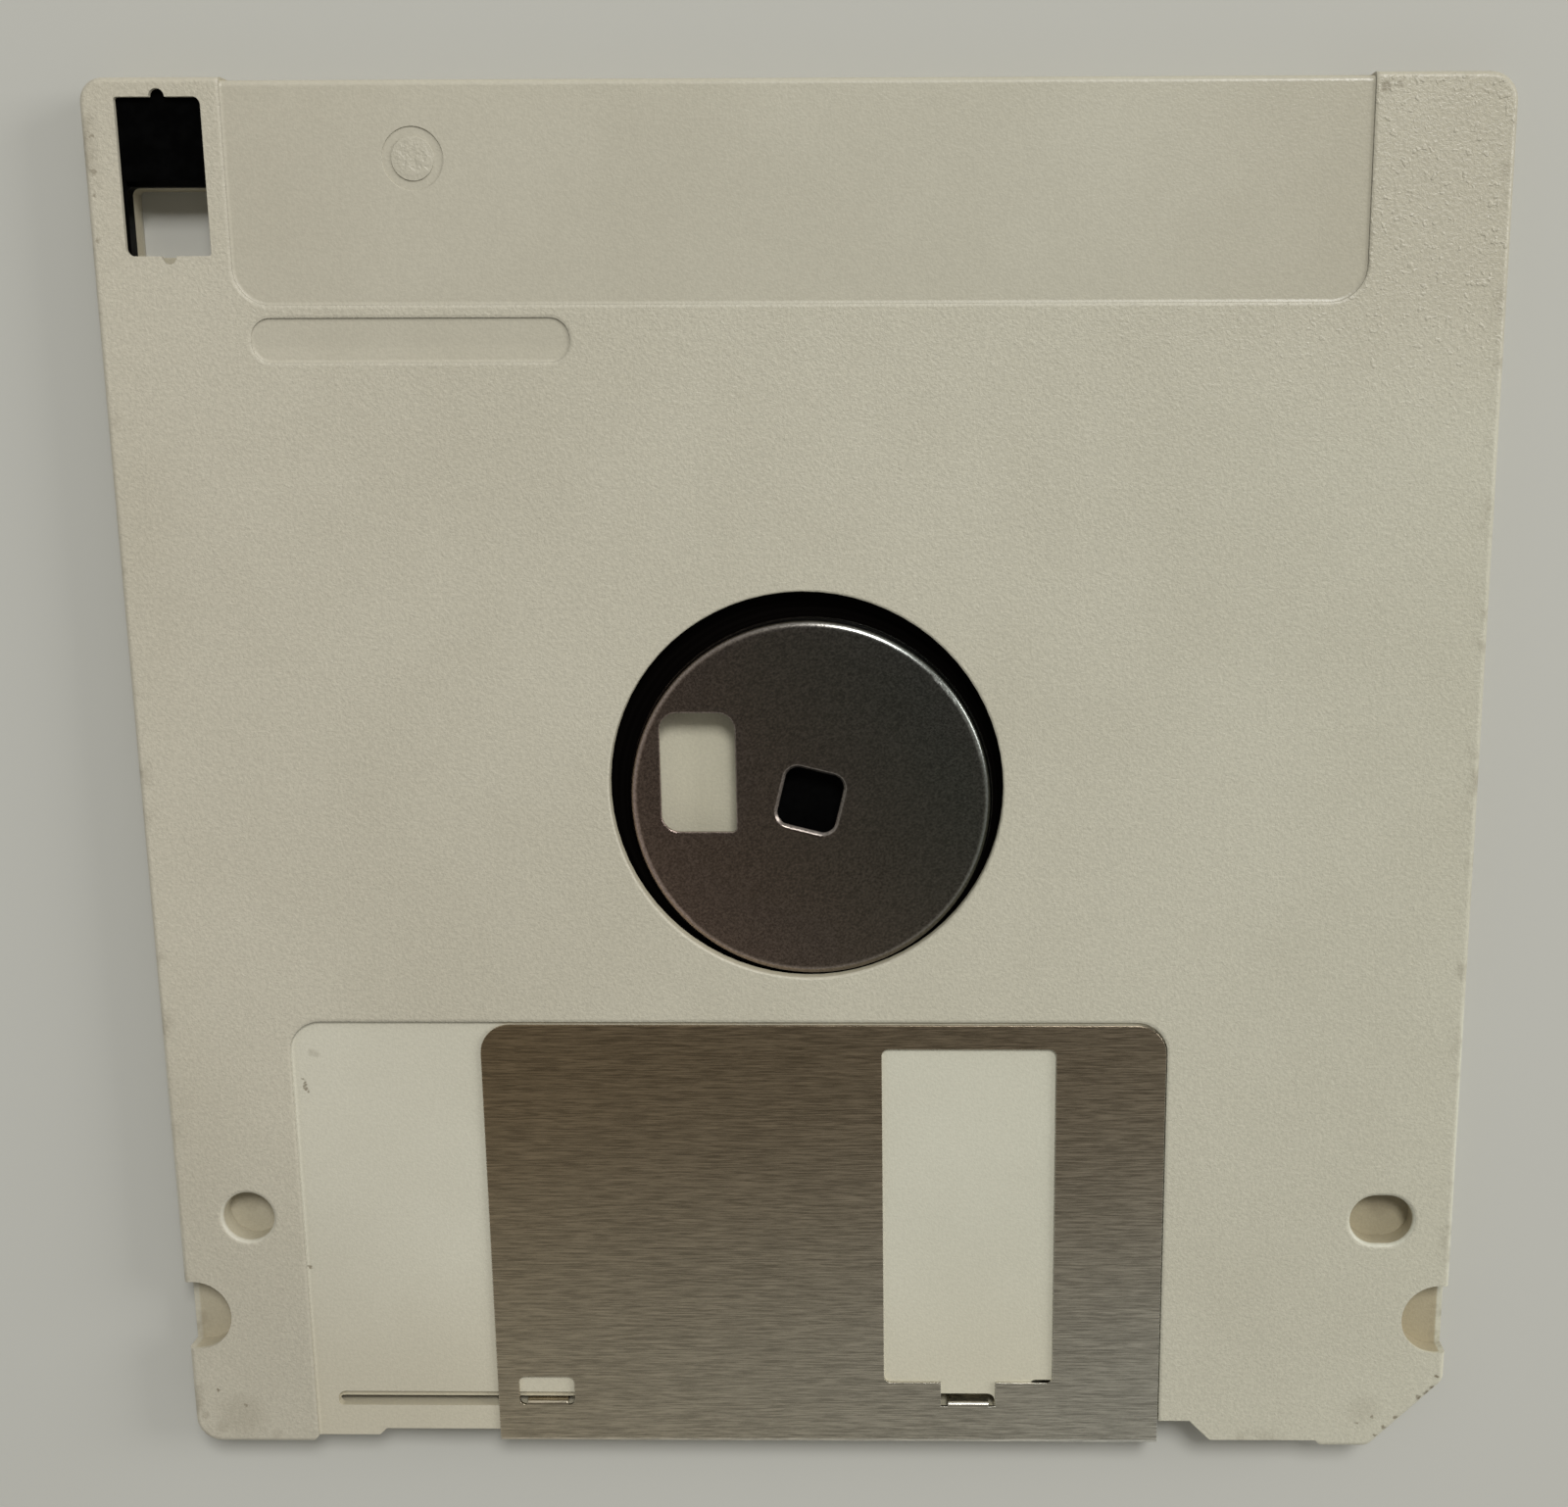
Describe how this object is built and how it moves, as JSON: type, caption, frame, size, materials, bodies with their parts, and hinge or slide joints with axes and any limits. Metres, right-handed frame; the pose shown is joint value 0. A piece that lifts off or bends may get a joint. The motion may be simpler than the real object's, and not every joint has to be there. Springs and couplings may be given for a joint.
{
  "type": "floppy disk",
  "caption": "Flexible magnetic disk in a hard square case, with a sliding metal shutter, a metal hub and a write protection slider.",
  "frame": {"origin": "middle of the case's outline, at the height of the surface that its label side lies on", "axes": "+Y from the shutter edge to the label edge, +Z out of the hub side, +X to the right as the hub side is seen from above with the shutter edge nearest"},
  "size_m": [0.09, 0.094, 0.0033],
  "materials": {
    "shell_plastic": "fine matte texture, warm light grey",
    "shutter_steel": "brushed across",
    "hub_steel": "fine satin, pressed",
    "spring_steel": "drawn wire",
    "slider_plastic": "smooth black",
    "magnetic_film": "dark brown coated film",
    "liner_fabric": "thin non-woven fabric",
    "lifter_film": "clear polyester leaf",
    "pad_plastic": "black, low friction",
    "adhesive": "soft adhesive"
  },
  "bodies": {
    "case": {"front_shell": "shell_plastic", "rear_shell": "shell_plastic", "front_liner": "liner_fabric", "rear_liner": "liner_fabric", "liner_lifter": "lifter_film", "centre_wear_pad": "pad_plastic", "shutter_spring": "spring_steel"},
    "shutter": {"shutter": "shutter_steel"},
    "disk": {"hub": "hub_steel", "hub_adhesive_ring": "adhesive", "magnetic_disk": "magnetic_film"},
    "slider": {"write_protect_slider": "slider_plastic"}
  },
  "joints": [
    {"name": "shutter_slide", "type": "slide", "parent": "case", "child": "shutter", "axis": [-1, 0, 0], "range_m": [0, 0.013], "stiffness_N_per_m": 38, "springref_m": -0.008, "deforming": ["shutter_spring"]},
    {"name": "write_protect_slide", "type": "slide", "parent": "case", "child": "slider", "axis": [0, -1, 0], "range_m": [0, 0.0044]},
    {"name": "disk_spin", "type": "hinge", "parent": "case", "child": "disk", "pos_m": [0.00025, 0.0006, 0], "axis": [0, 0, 1], "continuous": true}
  ]
}
